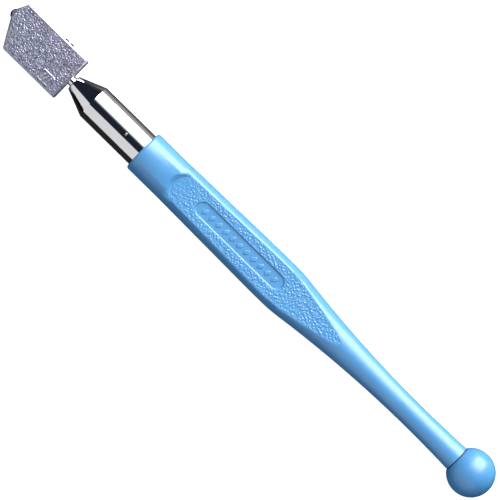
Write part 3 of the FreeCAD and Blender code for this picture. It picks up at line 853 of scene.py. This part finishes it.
class GLASSCUTTER_OT_ferrule(bpy.types.Operator):
    """Build the plated ferrule, the stem and the valve parts"""

    bl_idname = "glass_cutter.ferrule"
    bl_label = "Ferrule and Stem"

    def execute(self, context):
        self.turned_ferrule()
        self.stem()
        self.spring()
        return {"FINISHED"}

    def turned_ferrule(self):
        """The cone, the cylinder and the tail, with the pin that holds the spring's plug."""
        tip, shoulder, collar, tail, chamber = 24.5, 31.7, 51.3, 58.0, 33.0
        stem_hole, tip_radius, radius, tail_radius, room = 1.42, 2.1, 5.0, 4.25, 3.2
        spots = [(tip, stem_hole, 0.08), (tip, tip_radius, 0.5), (shoulder, radius, 0.12),
                 (collar, radius, 0.08), (collar, tail_radius, 0.02), (tail, tail_radius, 0.3),
                 (tail, room, 0.1), (chamber, room, 0.1), (chamber, stem_hole, 0.08)]
        profile = split_runs(eased(spots, 0.1, 6), 1.2)
        piece = finished("front_ferrule", lathe(profile, 192), "plated_ferrule", "tool_body",
                         ["ferrule"], sharp=30.0)
        low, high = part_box("plug_pin")
        centre = ((low[0] + high[0]) / 2, (low[1] + high[1]) / 2, AXIS_Z)
        drill(piece, centre, 0.42, 2.6, 6.0, 40)
        pin = [(1.2, 0.0), (1.2, 0.4), (4.86, 0.4), (4.94, 0.33), (4.975, 0.2), (4.98, 0.0)]
        finished("valve_pin", lathe(pin, 40, centre), "steel", "tool_body",
                 ["plug_pin"], sharp=50.0)

    def stem(self):
        """The hollow stem: a groove for the lock screw, a flange and a cross hole for oil."""
        front, groove, groove_end, flange, flange_end, rear = 13.2, 15.7, 17.3, 34.0, 35.0, 36.2
        radius, groove_radius, flange_radius = 1.35, 0.95, 2.7
        bore, bore_end, cross_hole, cross_radius = 0.5, 33.2, 32.4, 0.4
        stem = [(front, bore, 0.03), (front, radius, 0.12), (groove, radius, 0.03),
                (groove, groove_radius, 0.08), (groove_end, groove_radius, 0.08),
                (groove_end, radius, 0.03), (flange, radius, 0.02),
                (flange, flange_radius, 0.08), (flange_end, flange_radius, 0.08),
                (flange_end, radius, 0.02), (rear, radius, 0.12), (rear, 0.0),
                (bore_end, 0.0), (bore_end, bore, 0.1)]
        profile = split_runs(eased(stem, 0.05), 1.2)
        piece = finished("hollow_stem", lathe(profile, 96), "plated_stem", "valve_stem",
                         ["head_stem"], sharp=30.0)
        drill(piece, (station_x(cross_hole), 0.0, AXIS_Z), cross_radius, -2.0, 2.0, 32)

    def spring(self):
        """The coil behind the flange, at one fixed length (the real one shortens as the head is
        pressed).
        """
        low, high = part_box("return_spring")
        outer, wire = 2.7, 0.25
        coil = grown("valve_spring", coil_tree(), {
            "Start": (high[0] - wire * MM, 0.0, AXIS_Z),
            "Length": high[0] - low[0] - 2 * wire * MM, "Radius": (outer - wire) * MM,
            "Turns": 6.0, "Section Radius": wire * MM, "Section Sides": 14,
            "Steps Per Turn": 56},
            "spring_steel", "tool_body", nodes=["return_spring"])
        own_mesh(coil)


class GLASSCUTTER_OT_cap(bpy.types.Operator):
    """Build the ball cap, its threaded stud and its washer"""

    bl_idname = "glass_cutter.cap"
    bl_label = "Ball Cap"

    def execute(self, context):
        radius, face, rear = 6.45, 163.5, 175.0
        middle = rear - radius
        start = math.acos((middle - face) / radius)
        steps = 72
        arc = [(middle - radius * math.cos(start + (math.pi - start) * k / steps),
                radius * math.sin(start + (math.pi - start) * k / steps))
               for k in range(steps)]
        hole, hole_end = 2.0, 169.5
        spots = [(hole_end, 0.0), (hole_end, hole), (face + 0.15, hole), (face, hole + 0.15),
                 (face, arc[0][1] - 0.12), (face + 0.04, arc[0][1] - 0.03)]
        spots += arc[1:] + [(middle + radius, 0.0)]
        finished("ball_knob", lathe(spots, 144), "blue_plastic_cap", "filler_cap",
                 ["ball_cap"], sharp=40.0)
        core, stud_tip, stud_end = 1.72, 156.0, 169.4
        stud = [(stud_tip, 0.0), (stud_tip, 1.5, 0.1), (stud_tip + 0.3, core, 0.1),
                (stud_end, core, 0.1), (stud_end, 0.0)]
        finished("stud_core", lathe(split_runs(eased(stud, 0.1), 1.0), 64), "inner_brass",
                 "filler_cap", ["cap_stud"])
        pitch, crest, thread_start, thread_end = 0.7, 0.36, 156.5, 163.3
        turns = (thread_end - thread_start) / pitch
        grown("stud_thread", coil_tree(), {
            "Start": (station_x(thread_start), 0.0, AXIS_Z), "Length": turns * pitch * MM,
            "Radius": (2.0 - crest) * MM, "Turns": turns, "Section Radius": crest * MM,
            "Section Sides": 4, "Steps Per Turn": 40},
            "inner_brass", "filler_cap", sharp=20.0)
        seat_face, inner, outer = 163.2, 2.2, 3.6
        washer = [(seat_face, inner, 0.05), (face, inner, 0.05), (face, outer, 0.1),
                  (seat_face, outer, 0.1)]
        finished("cap_seal", lathe(eased(washer, 0.05), 96), "seal_rubber", "sealing_washer",
                 ["cap_washer"])
        return {"FINISHED"}


class GLASSCUTTER_OT_stage(bpy.types.Operator):
    """Lay the pale floor and set the lights and the camera"""

    bl_idname = "glass_cutter.stage"
    bl_label = "Stage"

    def execute(self, context):
        self.lay_floor()
        self.light_world(context.scene)
        self.hang_lights()
        self.aim_camera(context.scene)
        context.scene.view_settings.view_transform = "Standard"
        return {"FINISHED"}

    def lay_floor(self):
        """A wide floor, pale to the camera; in reflections it is dim, and graded by place."""
        bm = bmesh.new()
        bmesh.ops.create_grid(bm, x_segments=2, y_segments=2, size=3.0)
        floor = new_piece("studio_floor", bm)
        floor.location.z = CAD_BOX[0][2] - 0.00002
        material = bpy.data.materials.new("pale_floor")
        material.use_nodes = True
        tree = material.node_tree
        tree.nodes.clear()
        path = add_node(tree, "ShaderNodeLightPath")
        pale = add_node(tree, "ShaderNodeBsdfDiffuse", {"Color": (0.4, 0.4, 0.405, 1.0)})
        glow = add_node(tree, "ShaderNodeEmission",
                        {"Color": (1.0, 1.0, 1.0, 1.0), "Strength": 0.9})
        bright = add_node(tree, "ShaderNodeAddShader", {0: pale.outputs[0], 1: glow.outputs[0]})
        across = add_node(tree, "ShaderNodeSeparateXYZ", {
            "Vector": add_node(tree, "ShaderNodeNewGeometry").outputs["Position"]})
        dark, lit, dark_edge, lit_edge = 0.02, 0.4, -0.008, -0.026
        sheen = add_node(tree, "ShaderNodeMapRange", {
            "Value": across.outputs["Y"], "From Min": dark_edge, "From Max": lit_edge,
            "To Min": dark, "To Max": lit})
        nose_start, nose_end, nose_share = 0.06, 0.075, 0.1
        ahead = add_node(tree, "ShaderNodeMapRange", {
            "Value": across.outputs["X"], "From Min": nose_start, "From Max": nose_end,
            "To Min": 1.0, "To Max": nose_share})
        sheen = add_node(tree, "ShaderNodeMath", {
            0: sheen.outputs["Result"], 1: ahead.outputs["Result"]}, operation="MULTIPLY")
        dim = add_node(tree, "ShaderNodeEmission", {
            "Color": (1.0, 1.0, 1.0, 1.0), "Strength": sheen.outputs[0]})
        mix = add_node(tree, "ShaderNodeMixShader", {
            "Fac": path.outputs["Is Camera Ray"], 1: dim.outputs[0], 2: bright.outputs[0]})
        add_node(tree, "ShaderNodeOutputMaterial", {"Surface": mix.outputs[0]})
        floor.data.materials.append(material)

    def light_world(self, scene):
        """A surround, pale to the camera; to the tool it is a dim and bluish fill."""
        world = bpy.data.worlds.new("studio")
        scene.world = world
        world.use_nodes = True
        tree = world.node_tree
        tree.nodes.clear()
        path = add_node(tree, "ShaderNodeLightPath")
        pale = add_node(tree, "ShaderNodeBackground",
                        {"Color": (0.95, 0.955, 0.96, 1.0), "Strength": 1.0})
        mirrored, scattered = 0.018, 0.15
        fill = add_node(tree, "ShaderNodeMapRange", {
            "Value": path.outputs["Is Diffuse Ray"], "To Min": mirrored, "To Max": scattered})
        dim = add_node(tree, "ShaderNodeBackground",
                       {"Color": (0.7, 0.92, 1.6, 1.0), "Strength": fill.outputs["Result"]})
        mix = add_node(tree, "ShaderNodeMixShader", {
            "Fac": path.outputs["Is Camera Ray"], 1: dim.outputs[0], 2: pale.outputs[0]})
        add_node(tree, "ShaderNodeOutputWorld", {"Surface": mix.outputs[0]})

    def hang_lights(self):
        """A bright soft box on one side of the tool and a dim card across from it."""
        self.hang("soft_box", lean=49.0, width=1.95, length=0.95, power=55.0, ease=0.4)
        self.hang("grey_card", lean=-60.0, width=1.37, length=3.0, power=9.8, ease=0.02)

    def hang(self, name, lean, width, length, power, ease):
        """A light a metre from the tool's axis, leaning from upright by some degrees."""
        data = bpy.data.lights.new(name, "AREA")
        data.shape = "RECTANGLE"
        data.size, data.size_y = length, width
        data.energy = power
        self.fade_edge(data, ease)
        lamp = bpy.data.objects.new(name, data)
        bpy.context.scene.collection.objects.link(lamp)
        angle = math.radians(lean)
        away = Vector((0.0, -math.sin(angle), math.cos(angle)))
        lamp.matrix_world = Matrix.Translation(away + Vector((0.0, 0.0, AXIS_Z))) @ \
            away.to_track_quat("Z", "Y").to_matrix().to_4x4()

    def fade_edge(self, data, ease):
        """Lets a light fade out towards one edge, over a share of its width, along a curve."""
        data.use_nodes = True
        tree = data.node_tree
        across = add_node(tree, "ShaderNodeSeparateXYZ", {
            "Vector": add_node(tree, "ShaderNodeNewGeometry").outputs["Parametric"]})
        fade = add_node(tree, "ShaderNodeMapRange", {
            "Value": across.outputs["Y"], "From Min": 1.0, "From Max": 1.0 - ease,
            "To Min": 0.0, "To Max": 1.0})
        steepness = 4.0
        slow = add_node(tree, "ShaderNodeMath", {0: fade.outputs["Result"], 1: steepness},
                        operation="POWER")
        tree.links.new(slow.outputs[0], tree.nodes["Emission"].inputs["Strength"])

    def aim_camera(self, scene):
        """A long lens straight above, turned so that the tool lies across the frame."""
        data = bpy.data.cameras.new("studio_camera")
        data.lens = 200.0
        data.sensor_width = 36.0
        data.clip_end = 20.0
        camera = bpy.data.objects.new("studio_camera", data)
        scene.collection.objects.link(camera)
        width, middle = 0.1294, (0.0001, -0.00106)
        distance = width * data.lens / data.sensor_width
        right = Vector((-0.7135, -0.7006, 0.0)).normalized()
        back = Vector((0.0, 0.0, 1.0))
        up = back.cross(right)
        turn = Matrix((right, up, back)).transposed()
        camera.matrix_world = Matrix.Translation((*middle, AXIS_Z + distance)) @ \
            turn.to_4x4()
        scene.camera = camera


OPERATORS = (
    GLASSCUTTER_OT_finishes,
    GLASSCUTTER_OT_handle,
    GLASSCUTTER_OT_relief,
    GLASSCUTTER_OT_head,
    GLASSCUTTER_OT_wheel,
    GLASSCUTTER_OT_ferrule,
    GLASSCUTTER_OT_cap,
    GLASSCUTTER_OT_stage,
)


class GLASSCUTTER_PT_panel(bpy.types.Panel):
    """Lists the settings and the steps of the build"""

    bl_label = "Glass Cutter"
    bl_idname = "GLASSCUTTER_PT_panel"
    bl_space_type = "VIEW_3D"
    bl_region_type = "UI"
    bl_category = "Glass Cutter"

    def draw(self, context):
        for group in (context.scene.glass_cutter_colors, context.scene.glass_cutter_sizes):
            column = self.layout.column(align=True)
            for name in group.__annotations__:
                column.prop(group, name)
        for operator in OPERATORS:
            self.layout.operator(operator.bl_idname)


CLASSES = (GlassCutterColors, GlassCutterSizes, *OPERATORS, GLASSCUTTER_PT_panel)


def register():
    for cls in CLASSES:
        bpy.utils.register_class(cls)
    bpy.types.Scene.glass_cutter_colors = bpy.props.PointerProperty(type=GlassCutterColors)
    bpy.types.Scene.glass_cutter_sizes = bpy.props.PointerProperty(type=GlassCutterSizes)


def unregister():
    del bpy.types.Scene.glass_cutter_sizes
    del bpy.types.Scene.glass_cutter_colors
    for cls in reversed(CLASSES):
        bpy.utils.unregister_class(cls)


def main():
    """Builds every part."""
    register()
    bpy.ops.glass_cutter.finishes()
    bpy.ops.glass_cutter.handle()
    bpy.ops.glass_cutter.relief()
    bpy.ops.glass_cutter.head()
    bpy.ops.glass_cutter.wheel()
    bpy.ops.glass_cutter.ferrule()
    bpy.ops.glass_cutter.cap()
    bpy.ops.glass_cutter.stage()


if __name__ == "__main__":
    main()
